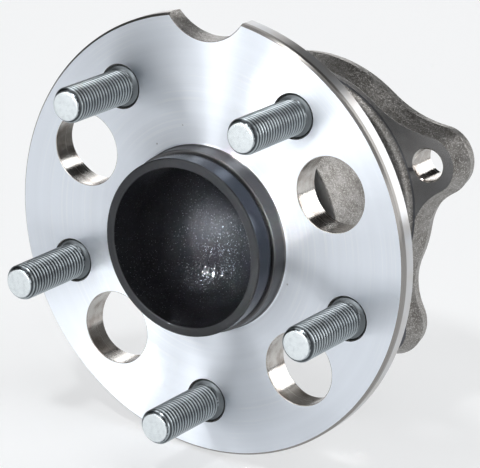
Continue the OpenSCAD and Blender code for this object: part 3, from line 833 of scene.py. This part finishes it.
def stud_source(pitch, columns=64, rows=8):
    """One wheel stud along Y about the origin, with its thread cut as a helix of the given pitch."""
    root = STUD_R - THREAD_SHARE * pitch
    profile = (0, 0.2, 0.6, 1, 1, 0.6, 0.2, 0)
    total = int(rows * ((THREAD_END - THREAD_START) / pitch + 1)) + rows + 2
    book = bmesh.new()
    crests = book.verts.layers.float.new("crest")

    def vertex(radius, s, column, crest):
        """A vertex of a column, with how much of a crest it is, which the zinc plating reads for its painted
        shade.
        """
        x, z = around(radius * MM, 2 * pi * column / columns)
        made = book.verts.new((x, s * MM, z))
        made[crests] = crest
        return made

    def thread_vertex(row, column):
        """A vertex of the helix, whose rows make up one turn, kept between the thread's ends."""
        s = THREAD_START + (row / rows + column / columns - 1) * pitch
        s = min(max(s, THREAD_START), THREAD_END)
        crest = profile[row % rows]
        height = min((STUD_R - root) * crest, s - THREAD_START, 0.9 * (THREAD_END - s))
        return vertex(root + height, s, column, crest)

    def plain_crest(r, s):
        """2 on the cut tip, less than 1 in the hollow behind the thread, which the plating darkens as
        painted shade, and 1 elsewhere.
        """
        if s < STUD_TIP + 0.1 and r < root - 0.3:
            return 2.0
        return 0.62 if r != SPLINE_R and -0.5 < s < 1 else 1.0

    helix = [[thread_vertex(row, column) for column in range(columns)] for row in range(total)]
    for row in range(total - 1):
        for column in range(columns):
            after, beside = row + 1, column + 1
            if beside == columns:
                after, beside = row + rows + 1, 0
            if after < total:
                across = helix[after][beside], helix[after - 1][beside]
                book.faces.new((helix[row][column], helix[row + 1][column], *across))
    tip = [
        (0, STUD_TIP), (STUD_TIP_R, STUD_TIP),
        (root - 0.5, STUD_TIP + 0.04), (root - 0.2, STUD_TIP + 0.22),
        (root, THREAD_START),
    ]
    shank = [
        (root, THREAD_END), (root + 0.15, -0.2),
        (root + 0.6, 0.15), (SPLINE_R - 0.65, 0.4),
        (SPLINE_R - 0.3, 0.5), (SPLINE_R, 0.95),
        (SPLINE_R, STUD_SEAT), (STUD_HEAD_R - 0.3, STUD_SEAT),
        (STUD_HEAD_R, STUD_SEAT + 0.3), (STUD_HEAD_R, STUD_BACK - 0.7),
        (STUD_HEAD_R - 0.2, STUD_BACK - 0.2), (STUD_HEAD_R - 0.7, STUD_BACK),
        (STUD_DIMPLE_R, STUD_BACK), (STUD_DIMPLE_R - 0.3, STUD_BACK - 0.25),
        (0, STUD_BACK - 0.25),
    ]
    for outline in (tip, shank):
        rings = []
        for r, s in outline:
            tooth = SPLINE_TOOTH if r == SPLINE_R else 0
            crest = plain_crest(r, s)
            turns = range(columns if r else 1)
            rings.append([vertex(r - tooth * (column % 2), s, column, crest) for column in turns])
        for first, second in zip(rings, rings[1:]):
            join_rings(book, first, second)
    bmesh.ops.remove_doubles(book, verts=book.verts, dist=MERGED)
    bmesh.ops.dissolve_degenerate(book, dist=MERGED, edges=book.edges)
    bmesh.ops.recalc_face_normals(book, faces=book.faces)
    return new_piece("stud_source", book)


# Repeated pieces


def circle_tree():
    """Geometry Nodes that set copies of a piece on a circle about the axle."""
    tree = bpy.data.node_groups.new("set_round_the_axle", "GeometryNodeTree")
    tree.interface.new_socket(name="Geometry", in_out="OUTPUT", socket_type="NodeSocketGeometry")
    for name, kind in (
        ("Piece", "NodeSocketObject"),
        ("Count", "NodeSocketInt"),
        ("Radius", "NodeSocketFloat"),
        ("First angle", "NodeSocketFloat"),
        ("Place", "NodeSocketFloat"),
        ("Seed", "NodeSocketInt"),
        ("Finish", "NodeSocketMaterial"),
    ):
        tree.interface.new_socket(name=name, in_out="INPUT", socket_type=kind)
    book = NodeBook(tree)
    given = {socket.name: Wire(book, socket) for socket in tree.nodes.new("NodeGroupInput").outputs}
    sizes = {"Vertices": given["Count"], "Radius": given["Radius"]}
    circle = book.node("GeometryNodeMeshCircle", values=sizes)
    turn = book.node("ShaderNodeCombineXYZ", values={"X": pi / 2, "Y": -1.0 * given["First angle"]})
    shift = book.node("ShaderNodeCombineXYZ", values={"Y": given["Place"]})
    moves = {"Geometry": circle, "Rotation": turn, "Translation": shift}
    places = book.node("GeometryNodeTransform", values=moves)
    # Inputs 2, 3 and 8 are the smallest and the largest number and the seed
    phase = book.node(
        "FunctionNodeRandomValue",
        {"data_type": "FLOAT"},
        {2: 0.0, 3: 2 * pi, 8: given["Seed"]},
        output=1,
    )
    spin = book.node("ShaderNodeCombineXYZ", values={"Y": phase})
    source = book.node("GeometryNodeObjectInfo", values={"Object": given["Piece"]}, output="Geometry")
    copies = {"Points": places, "Instance": source, "Rotation": spin}
    set_out = book.node("GeometryNodeInstanceOnPoints", values=copies)
    whole = book.node("GeometryNodeRealizeInstances", values={"Geometry": set_out})
    finished = book.node("GeometryNodeSetMaterial", values={"Geometry": whole, "Material": given["Finish"]})
    book.node("NodeGroupOutput", values={"Geometry": finished})
    return tree


def set_round(name, source, finish, count, radius, first_angle, place):
    """Copies of a source piece round the axle, as one plain mesh. Its radius and place are in metres."""
    tree = bpy.data.node_groups.get("set_round_the_axle") or circle_tree()
    piece = new_piece(name, bmesh.new())
    modifier = piece.modifiers.new("set_round", "NODES")
    modifier.node_group = tree
    values = {
        "Piece": source,
        "Count": count,
        "Radius": radius,
        "First angle": first_angle,
        "Place": place,
        "Seed": SEED,
        "Finish": finish,
    }
    for socket in tree.interface.items_tree:
        if socket.in_out == "INPUT":
            modifier[socket.identifier] = values[socket.name]
    baked(piece)
    discard(source)
    if not piece.data.polygons:
        raise DresserError(f"{name} came out empty")
    return piece


# Outer ring


def forging_outline(grow):
    """The mounting flange's outline at its parting line, moved outwards by grow."""
    points = []

    def corner_angle(a, b, c):
        """Angle between the sides a and b of a triangle whose third side is c."""
        return acos((a * a + b * b - c * c) / (2 * a * b))

    def add_arc(middle, radius, start, end, steps):
        """Adds the points of an arc, all but its last one."""
        for step in range(steps):
            x, z = around(radius, start + (end - start) * step / steps)
            points.append((middle[0] + x, middle[1] + z))

    crown, waist = (CROWN_R, CROWN_BLEND), (WAIST_R, WAIST_BLEND)
    gaps = (crown, waist, waist, waist)
    swings = [pi - corner_angle(BOLT_CIRCLE_R, EAR_R + blend, base + blend) for base, blend in gaps]
    for gap, (base, blend) in enumerate(gaps):
        start = EAR_DIRECTIONS[gap]
        end = EAR_DIRECTIONS[(gap + 1) % 4] + (2 * pi if gap == 3 else 0)
        swing = swings[gap]
        offset = corner_angle(base + blend, BOLT_CIRCLE_R, EAR_R + blend)
        add_arc(BOLT_PLACES[gap], EAR_R + grow, start - swings[gap - 1], start + swing, 24)
        leaving, arriving = around(base + blend, start + offset), around(base + blend, end - offset)
        add_arc(leaving, blend - grow, start + swing + pi, start + offset + pi, 10)
        add_arc((0, 0), base + grow, start + offset, end - offset, 20)
        add_arc(arriving, blend - grow, end - offset + pi, end - swing + pi, 10)
    return points


def flange_source():
    """The drafted forging of the mounting flange, with its parting line standing a little proud."""
    # Place along the axle, and how far the outline stands outside the one at the parting line
    levels = (
        (EAR_FRONT, -2.45), (EAR_FRONT + 0.12, -2.33),
        (PARTING - 0.8, -0.26), (PARTING - 0.3, -0.06),
        (PARTING, 0.0), (PARTING + 0.3, -0.06),
        (PARTING + 0.8, -0.22), (MOUNT_FACE - 0.2, -0.96),
        (MOUNT_FACE, -1.2),
    )
    book = bmesh.new()
    rings = []
    for place, grow in levels:
        rings.append([book.verts.new((x * MM, place * MM, z * MM)) for x, z in forging_outline(grow)])
    for first, second in zip(rings, rings[1:]):
        join_rings(book, first, second)
    book.faces.new(rings[0])
    book.faces.new(rings[-1])
    bmesh.ops.recalc_face_normals(book, faces=book.faces)
    return new_piece("outer_ring_dressed", book)


def barrel_outline():
    """Outside of the ring as a solid body, with the fillet that runs into the flange."""
    fillet_r = BARREL_BACK_R + BARREL_FILLET
    return (
        [(0, RING_FRONT, 0), (BARREL_FRONT_R, RING_FRONT, 0.5)]
        + arc(fillet_r, EAR_FRONT - BARREL_FILLET, BARREL_FILLET, 180, 90, 6)
        + [
            (fillet_r, EAR_FRONT + 0.4, 0), (BARREL_BACK_R, EAR_FRONT + 1.2, 0),
            (BARREL_BACK_R, MOUNT_FACE - 0.5, 0), (SPIGOT_R, MOUNT_FACE - 0.5, 0.2),
            (SPIGOT_R, RING_END, 0.6), (0, RING_END, 0),
        ]
    )


def raceway_outline():
    """Inside of the ring: seats, raceways and shoulder, as the shape that is taken out."""
    return (
        [
            (0, RING_FRONT - PAST, 0), (SEAT_R + 1, RING_FRONT - PAST, 0),
            (SEAT_R, RING_FRONT + 0.6, 0), (SEAT_R, RING_FRONT + SEAL_SEAT, 0.2),
            (SHOULDER_R, RING_FRONT + SEAL_SEAT, 0.1),
        ]
        + arc(BALL_CIRCLE_R, OUTBOARD_ROW, RACE_R, 10.5, 74.5, 12)
        + arc(BALL_CIRCLE_R, INBOARD_ROW, RACE_R, 285.5, 349.5, 12)
        + [
            (SHOULDER_R, RING_END - CAP_SEAT, 0.1), (SEAT_R, RING_END - CAP_SEAT, 0.2),
            (SEAT_R, RING_END - 0.6, 0), (SEAT_R + 1, RING_END + PAST, 0),
            (0, RING_END + PAST, 0),
        ]
    )


def bolt_tool(name, place):
    """Cutter for a mounting bolt's hole, chamfered at both faces."""
    wide = BOLT_HOLE_R + 2 * BOLT_CHAMFER
    outline = [
        (0, EAR_FRONT - BOLT_CHAMFER, 0), (wide, EAR_FRONT - BOLT_CHAMFER, 0),
        (BOLT_HOLE_R, EAR_FRONT + BOLT_CHAMFER, 0),
        (BOLT_HOLE_R, MOUNT_FACE - BOLT_CHAMFER, 0),
        (wide, MOUNT_FACE + BOLT_CHAMFER, 0), (0, MOUNT_FACE + BOLT_CHAMFER, 0),
    ]
    return turned(name, outline, 64, place)


def ring_region(middle, normal):
    """Name of the finish at a place of the outer ring."""
    radius, place = axle_distance(middle) / MM, middle.y / MM
    if radius < SEAT_R + 0.1 or (radius < SEAT_R + 1.9 and abs(normal.y) < 0.99):
        return "seat"
    if abs(normal.y) < 0.95 and any(near(middle, hole, BOLT_HOLE_R + 1.1) for hole in BOLT_PLACES):
        return "bolt_bore"
    if place > MOUNT_FACE + 0.05:
        return "seat"
    if normal.y < -FLAT and place < EAR_FRONT - 5:
        return "front"
    if abs(normal.y) > FLAT and place > EAR_FRONT - 0.1:
        return "milled"
    if place < EAR_FRONT + 0.45 and radius < BARREL_BACK_R + BARREL_FILLET + 0.1:
        return "barrel"
    return "forging"


# Cap and sensor


def cap_outline():
    """The pressed cap as a closed shell: sleeve, bead, wall, grooved floor."""
    sleeve_end = RING_END - CAP_SLEEVE
    bead_end = RING_END + 2 * CAP_WALL
    return [
        (SEAT_R, sleeve_end, 0.3), (SEAT_R, RING_END, 0.2),
        (CAP_BEAD_R, RING_END, 0.3), (CAP_BEAD_R, bead_end, 0.9),
        (SEAT_R, bead_end, 0.3), (SEAT_R, CAP_FLOOR, 2.0),
        (CAP_GROOVE_R + 0.9, CAP_FLOOR, 0.3),
        (CAP_GROOVE_R + 0.5, CAP_FLOOR - CAP_GROOVE_DEPTH, 0.2),
        (CAP_GROOVE_R - 0.5, CAP_FLOOR - CAP_GROOVE_DEPTH, 0.2),
        (CAP_GROOVE_R - 0.9, CAP_FLOOR, 0.3),
        (0, CAP_FLOOR, 0), (0, CAP_FLOOR - CAP_WALL, 0),
        (SEAT_R - CAP_WALL, CAP_FLOOR - CAP_WALL, 0.8),
        (SEAT_R - CAP_WALL, sleeve_end, 0.3),
    ]


def sensor_hole_tool():
    """Cutter for the sensor's hole in the cap, just above the lowest point of the sensor."""
    place = (centre("sensor_body").x / MM, low("sensor_body").z / MM + SENSOR_HOLE_RISE)
    start, end = CAP_FLOOR - 3, CAP_FLOOR + PAST
    outline = [(0, start, 0), (SENSOR_HOLE_R, start, 0), (SENSOR_HOLE_R, end, 0), (0, end, 0)]
    return turned("sensor_hole", outline, 48, place)


# Settings


class HubBearingSizes(bpy.types.PropertyGroup):
    """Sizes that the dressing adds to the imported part."""

    edge_round: FloatProperty(
        name="Rim edge", description="Rounding of the flange's turned edges",
        unit="LENGTH", default=0.15 * MM, min=0.05 * MM, max=0.4 * MM,
    )
    mouth_round: FloatProperty(
        name="Hole mouths", description="Rounding of the access holes' and the notch's mouths",
        unit="LENGTH", default=0.35 * MM, min=0.1 * MM, max=0.6 * MM,
    )
    thread_pitch: FloatProperty(
        name="Thread pitch", description="Pitch of the wheel studs' thread",
        unit="LENGTH", default=1.5 * MM, min=1.0 * MM, max=1.75 * MM,
    )
    turned_segments: IntProperty(
        name="Turning steps", description="Facets round the hub",
        default=256, min=96, max=360,
    )


class HubBearingColours(bpy.types.PropertyGroup):
    """Base colours of the finishes."""

    turned: FloatVectorProperty(
        name="Turned steel", description="Colour of the bright turned flange",
        subtype="COLOR", min=0, max=1, default=(0.88, 0.93, 1.0),
    )
    nose: FloatVectorProperty(
        name="Nose", description="Colour of the hardened wheel pilot",
        subtype="COLOR", min=0, max=1, default=(0.052, 0.06, 0.076),
    )
    zinc: FloatVectorProperty(
        name="Zinc plate", description="Colour of the wheel studs",
        subtype="COLOR", min=0, max=1, default=(0.41, 0.455, 0.48),
    )
    floor: FloatVectorProperty(
        name="Floor", description="Colour of the floor and its glow",
        subtype="COLOR", min=0, max=1, default=(0.46, 0.465, 0.47),
    )


class HubBearingStudio(bpy.types.PropertyGroup):
    """Camera and lights. Angles are measured with the hub upright, as the picture shows it."""

    azimuth: FloatProperty(
        name="Azimuth", description="Camera's turn from the front towards the right",
        subtype="ANGLE", default=radians(33.494),
    )
    elevation: FloatProperty(
        name="Elevation", description="Camera's height angle",
        subtype="ANGLE", default=radians(17.746),
    )
    distance: FloatProperty(
        name="Distance", description="Camera's distance from the wheel face",
        unit="LENGTH", default=0.946,
    )
    aim: FloatVectorProperty(
        name="Aim", description="Middle of the view, right of and above the axle",
        unit="LENGTH", size=2, default=(0.011319, 0.001142),
    )
    lens: FloatProperty(
        name="Lens", description="Focal length on a 36 mm wide sensor",
        unit="CAMERA", default=216.51, min=50, max=400,
    )
    light_power: FloatProperty(
        name="Lights", description="Factor on the power of every softbox",
        subtype="FACTOR", default=1.0, min=0, max=10,
    )
    floor_glow: FloatProperty(
        name="Floor glow", description="Strength of the light that the floor passes on",
        default=1.05, min=0, max=2,
    )
    ambient: FloatProperty(
        name="Ambient", description="Brightness of the surroundings",
        default=0.02, min=0, max=3,
    )


# Stage

# Name, place seen with the hub upright, direction of the width, width and height in metres,
# angle of the beam in degrees, power in watts.
SOFTBOXES = (
    ("left_softbox", (-0.781, -1.028, 0.156), (0.782, -0.549, 0.295), (0.25, 0.7), 180, 0.95),
    ("front_softbox", (-0.261, -1.264, 0.156), (0.769, -0.232, -0.596), (0.35, 0.7), 180, 3.5),
    ("front_right_softbox", (0.065, -1.283, 0.196), (0.627, -0.086, -0.774), (0.35, 0.6), 180, 1.4),
    ("camera_softbox", (0.725, -1.369, 0.403), (0.492, 0.004, -0.871), (0.5, 0.6), 180, 2.85),
    ("upper_front_softbox", (-0.454, -1.102, 0.519), (0.909, -0.41, -0.077), (0.3, 0.5), 180, 1.0),
    ("upper_left_strip", (-0.596, -0.804, 0.83), (0.887, -0.36, 0.289), (0.22, 0.6), 180, 2.8),
    ("upper_softbox", (0.05, -0.66, 1.12), (0.971, -0.179, -0.161), (0.14, 0.14), 180, 4.6),
    ("low_right_softbox", (1.221, -0.398, 0.199), (0.174, 0.041, -0.984), (0.5, 0.5), 180, 4.0),
    ("high_right_softbox", (0.959, -0.08, 1.278), (0.8, -0.008, -0.6), (0.8, 0.8), 180, 5.2),
    ("top_softbox", (-0.199, -0.099, 1.988), (0.995, -0.022, 0.098), (2.0, 0.8), 180, 3.9),
    ("rear_right_softbox", (0.848, 1.263, 0.496), (0.504, 0.001, -0.864), (1.2, 0.5), 180, 10.3),
    ("rear_left_softbox", (-0.85, 1.26, 0.6), (0.83, 0.56, 0.0), (1.0, 0.5), 180, 6.0),
    ("upper_dish_spot", (-0.026, -0.745, 1.065), (1.0, 0.0, 0.024), (0.05, 0.05), 3, 0.01),
    ("front_dish_spot", (0.358, -1.248, 0.068), (0.961, 0.275, 0.0), (0.04, 0.04), 2.4, 0.03),
)


def placed(thing, place, axes):
    """An object for a camera or a light, at a place and with axes that are seen with the hub upright."""
    made = bpy.data.objects.new(thing.name, thing)
    turn = Matrix([as_packed(axis) for axis in axes]).transposed()
    made.matrix_world = Matrix.Translation(as_packed(place)) @ turn.to_4x4()
    bpy.context.scene.collection.objects.link(made)
    return made


def set_camera(scene, studio):
    """The camera, whose view is square to the line from its aim."""
    azimuth, elevation = studio.azimuth, studio.elevation
    back = Vector((sin(azimuth) * cos(elevation), -cos(azimuth) * cos(elevation), sin(elevation)))
    right = Vector((cos(azimuth), sin(azimuth), 0))
    up = back.cross(right)
    lens = bpy.data.cameras.new("camera")
    lens.sensor_fit = "HORIZONTAL"
    lens.sensor_width = 36.0
    lens.lens = studio.lens
    lens.clip_start, lens.clip_end = 0.01, 20.0
    place = right * studio.aim[0] + up * studio.aim[1] + back * studio.distance
    scene.camera = placed(lens, place, (right, up, back))


def lay_floor(finish):
    """The floor, just under the part."""
    book = bmesh.new()
    level = CAD_BOUNDS[0][2] - FLOOR_GAP
    corners = ((-1, -1), (1, -1), (1, 1), (-1, 1))
    book.faces.new([book.verts.new((x * FLOOR_REACH, y * FLOOR_REACH, level)) for x, y in corners])
    floor = new_piece("floor", book)
    floor.data.materials.append(finish)


def set_softbox(name, place, across, size, beam, power):
    """A rectangular light that faces the hub."""
    light = bpy.data.lights.new(name, "AREA")
    light.shape = "RECTANGLE"
    light.size, light.size_y = size
    light.spread = radians(beam)
    light.energy = power
    back, right = Vector(place).normalized(), Vector(across).normalized()
    placed(light, place, (right, back.cross(right), back))


class HUB_OT_set_stage(bpy.types.Operator):
    """Set the camera, the floor, the softboxes and the surroundings"""

    bl_idname = "hub_bearing.set_stage"
    bl_label = "Set the stage"

    def execute(self, context):
        scene = context.scene
        studio = scene.hub_bearing_studio
        set_camera(scene, studio)
        lay_floor(paper_finish(tuple(scene.hub_bearing_colours.floor), studio.floor_glow))
        for *light, power in SOFTBOXES:
            set_softbox(*light, power * studio.light_power)
        world = bpy.data.worlds.new("surroundings")
        world.use_nodes = True
        background = world.node_tree.nodes["Background"]
        background.inputs["Color"].default_value = (0.93, 0.96, 1.0, 1.0)
        background.inputs["Strength"].default_value = studio.ambient
        scene.world = world
        scene.view_settings.view_transform = "Standard"
        return {"FINISHED"}


# Pieces


class HUB_OT_dress_hub(bpy.types.Operator):
    """Turn the hub and cut its holes, with rounded edges and a finish for each surface"""

    bl_idname = "hub_bearing.dress_hub"
    bl_label = "Dress the hub"

    def execute(self, context):
        sizes, tints = context.scene.hub_bearing_sizes, context.scene.hub_bearing_colours
        mouth = sizes.mouth_round / MM
        hub = turned("hub_dressed", hub_outline(sizes.edge_round / MM), sizes.turned_segments)
        tools = [through_tool("access", place, ACCESS_R, mouth, 96) for place in ACCESS_PLACES]
        tools += [stud_hole_tool("stud_hole", place) for place in STUD_PLACES]
        tools.append(through_tool("notch", NOTCH_PLACE, NOTCH_R, mouth, 144))
        combined(hub, joined(tools), "DIFFERENCE")
        finishes = {
            "face": turned_face_finish(tuple(tints.turned)),
            "rim": turned_rim_finish(tuple(tints.turned)),
            "bore": bored_steel_finish(),
            "notch": forging_finish("forged_notch", 1.0),
            "back": dark_turned_finish("turned_back", (0.55, 0.56, 0.58), 0.3),
            "pilot": dark_turned_finish("pilot_steel", (0.125, 0.125, 0.128), 0.27),
            "nose": dark_turned_finish("nose_steel", tuple(tints.nose), 0.16, 0.3),
            "nose_end": dark_turned_finish("nose_end_steel", (0.05, 0.052, 0.056), 0.4, 0.0),
            "dish": forged_dish_finish(),
            "shaft": ground_finish("ground_shaft", (0.62, 0.63, 0.65)),
        }
        dressed(painted(smoothed(hub), finishes, hub_region), "hub", "turned_steel", "hub_spindle")
        return {"FINISHED"}


class HUB_OT_dress_studs(bpy.types.Operator):
    """Cut one stud's thread and set the studs round the hub"""

    bl_idname = "hub_bearing.dress_studs"
    bl_label = "Dress the studs"

    def execute(self, context):
        finish = zinc_finish(tuple(context.scene.hub_bearing_colours.zinc))
        source = stud_source(context.scene.hub_bearing_sizes.thread_pitch / MM)
        first_angle = HUB_TURN - pi / 2
        circle_r = STUD_CIRCLE_R * MM
        studs = set_round("wheel_studs_dressed", source, finish, STUD_COUNT, circle_r, first_angle, 0.0)
        names = [f"wheel_stud_{count + 1}" for count in range(STUD_COUNT)]
        dressed(smoothed(studs, 38.0), "hub", "zinc_steel", *names)
        return {"FINISHED"}


class HUB_OT_dress_outer_ring(bpy.types.Operator):
    """Forge the mounting flange, join it to the barrel and bore the ring"""

    bl_idname = "hub_bearing.dress_outer_ring"
    bl_label = "Dress the outer ring"

    def execute(self, context):
        ring = flange_source()
        combined(ring, turned("barrel", barrel_outline(), 192), "UNION")
        tools = [turned("raceways", raceway_outline(), 192)]
        tools += [bolt_tool("bolt", place) for place in BOLT_PLACES]
        combined(ring, joined(tools), "DIFFERENCE")
        finishes = {
            "forging": forging_finish("blasted_forging", 1.2),
            "milled": milled_finish(),
            "barrel": forging_finish("blasted_barrel", 1.05),
            "bolt_bore": bored_steel_finish(),
            "front": ground_finish("turned_front", (0.85, 0.84, 0.82), 0.4),
            "seat": ground_finish("ground_seat", (0.58, 0.59, 0.61), 0.2),
        }
        dressed(painted(smoothed(ring), finishes, ring_region), "fixed_ring", "forged_steel", "outer_ring")
        return {"FINISHED"}


class HUB_OT_dress_rows(bpy.types.Operator):
    """Set the balls in their rows and finish the cages, the inner ring and the nut"""

    bl_idname = "hub_bearing.dress_rows"
    bl_label = "Dress the ball rows"

    def execute(self, context):
        steel = ground_finish("polished_ball", (0.72, 0.73, 0.75), 0.04)
        nylon = moulded_finish("cage_nylon", (0.6, 0.5, 0.31), (0.68, 0.59, 0.4), 0.42)
        for row in ("outboard", "inboard"):
            names = sorted(name for name in NODES if name.startswith(f"ball_{row}_"))
            middle = centre(names[0])
            size = high(names[0]) - low(names[0])
            book = bmesh.new()
            bmesh.ops.create_uvsphere(book, u_segments=48, v_segments=24, radius=size.y / 2)
            source = new_piece("ball_source", book)
            name, circle_r = f"balls_{row}_dressed", axle_distance(middle)
            balls = set_round(name, source, steel, len(names), circle_r, pi / 2, middle.y)
            balls.data.shade_smooth()
            dressed(balls, f"{row}_row", "bearing_steel", *names)
            dress_node(f"cage_{row}", f"{row}_row", "cage_nylon", nylon)
        dress_node("inner_ring", "hub", "bearing_steel", ground_finish("ground_ring", (0.62, 0.63, 0.65)))
        nut_steel = dark_turned_finish("nut_phosphate", (0.2, 0.2, 0.21), 0.45)
        dress_node("spindle_nut", "hub", "nut_steel", nut_steel, 0.4)
        return {"FINISHED"}


class HUB_OT_dress_seal(bpy.types.Operator):
    """Finish the seal and the speed sensor ring"""

    bl_idname = "hub_bearing.dress_seal"
    bl_label = "Dress the seal and sensor ring"

    def execute(self, context):
        rubber = moulded_finish("seal_rubber", (0.012, 0.012, 0.012), (0.03, 0.03, 0.031), 0.5)
        magnet = moulded_finish("magnet_rubber", (0.03, 0.027, 0.025), (0.05, 0.046, 0.042), 0.55)
        seal_sheet = pressed_sheet_finish("seal_sheet", (0.45, 0.46, 0.48))
        carrier_sheet = pressed_sheet_finish("carrier_sheet", (0.5, 0.51, 0.53))
        dress_node("seal_case", "fixed_ring", "seal_steel", seal_sheet, 0.2)
        dress_node("seal_lips", "fixed_ring", "seal_rubber", rubber)
        dress_node("sensor_ring_carrier", "hub", "carrier_steel", carrier_sheet, 0.2)
        dress_node("sensor_ring_magnet", "hub", "magnet_rubber", magnet, 0.15)
        return {"FINISHED"}


class HUB_OT_dress_cap(bpy.types.Operator):
    """Press the end cap and finish the sensor with its terminals"""

    bl_idname = "hub_bearing.dress_cap"
    bl_label = "Dress the cap and sensor"

    def execute(self, context):
        cap = turned("end_cap_dressed", cap_outline(), 192)
        combined(cap, sensor_hole_tool(), "DIFFERENCE")
        plated = pressed_sheet_finish("cap_plating", (0.63, 0.61, 0.52))
        dressed(painted(smoothed(cap), {"plated": plated}), "fixed_ring", "cap_steel", "end_cap")
        plastic = moulded_finish("sensor_plastic", (0.018, 0.018, 0.02), (0.035, 0.035, 0.038), 0.42)
        dress_node("sensor_body", "fixed_ring", "sensor_plastic", plastic, 0.3)
        brass = ground_finish("tinned_brass", (0.78, 0.68, 0.4), 0.25)
        dress_node("sensor_terminals", "fixed_ring", "terminal_brass", brass, 0.12)
        return {"FINISHED"}


STEPS = (
    HUB_OT_set_stage,
    HUB_OT_dress_hub,
    HUB_OT_dress_studs,
    HUB_OT_dress_outer_ring,
    HUB_OT_dress_rows,
    HUB_OT_dress_seal,
    HUB_OT_dress_cap,
)


class HUB_PT_dresser(bpy.types.Panel):
    """Sizes, colours and steps of the wheel hub bearing's dressing"""

    bl_idname = "HUB_PT_dresser"
    bl_label = "Wheel Hub Bearing"
    bl_space_type = "VIEW_3D"
    bl_region_type = "UI"
    bl_category = "Hub Bearing"

    def draw(self, context):
        for group in GROUPS:
            box = self.layout.box()
            owner = getattr(context.scene, group)
            for name in owner.bl_rna.properties.keys():
                if name not in ("rna_type", "name"):
                    box.prop(owner, name)
        for step in STEPS:
            self.layout.operator(step.bl_idname)


GROUPS = {
    "hub_bearing_sizes": HubBearingSizes,
    "hub_bearing_colours": HubBearingColours,
    "hub_bearing_studio": HubBearingStudio,
}
CLASSES = (*GROUPS.values(), *STEPS, HUB_PT_dresser)


def register():
    """Registers the classes and hangs the settings on the scene."""
    for kind in CLASSES:
        bpy.utils.register_class(kind)
    for name, kind in GROUPS.items():
        setattr(bpy.types.Scene, name, PointerProperty(type=kind))


def unregister():
    """Takes the settings and the classes away again."""
    for name in GROUPS:
        delattr(bpy.types.Scene, name)
    for kind in reversed(CLASSES):
        bpy.utils.unregister_class(kind)


def main():
    """Dresses the part step by step."""
    register()
    for step in STEPS:
        family, name = step.bl_idname.split(".")
        getattr(getattr(bpy.ops, family), name)()


if __name__ == "__main__":
    main()
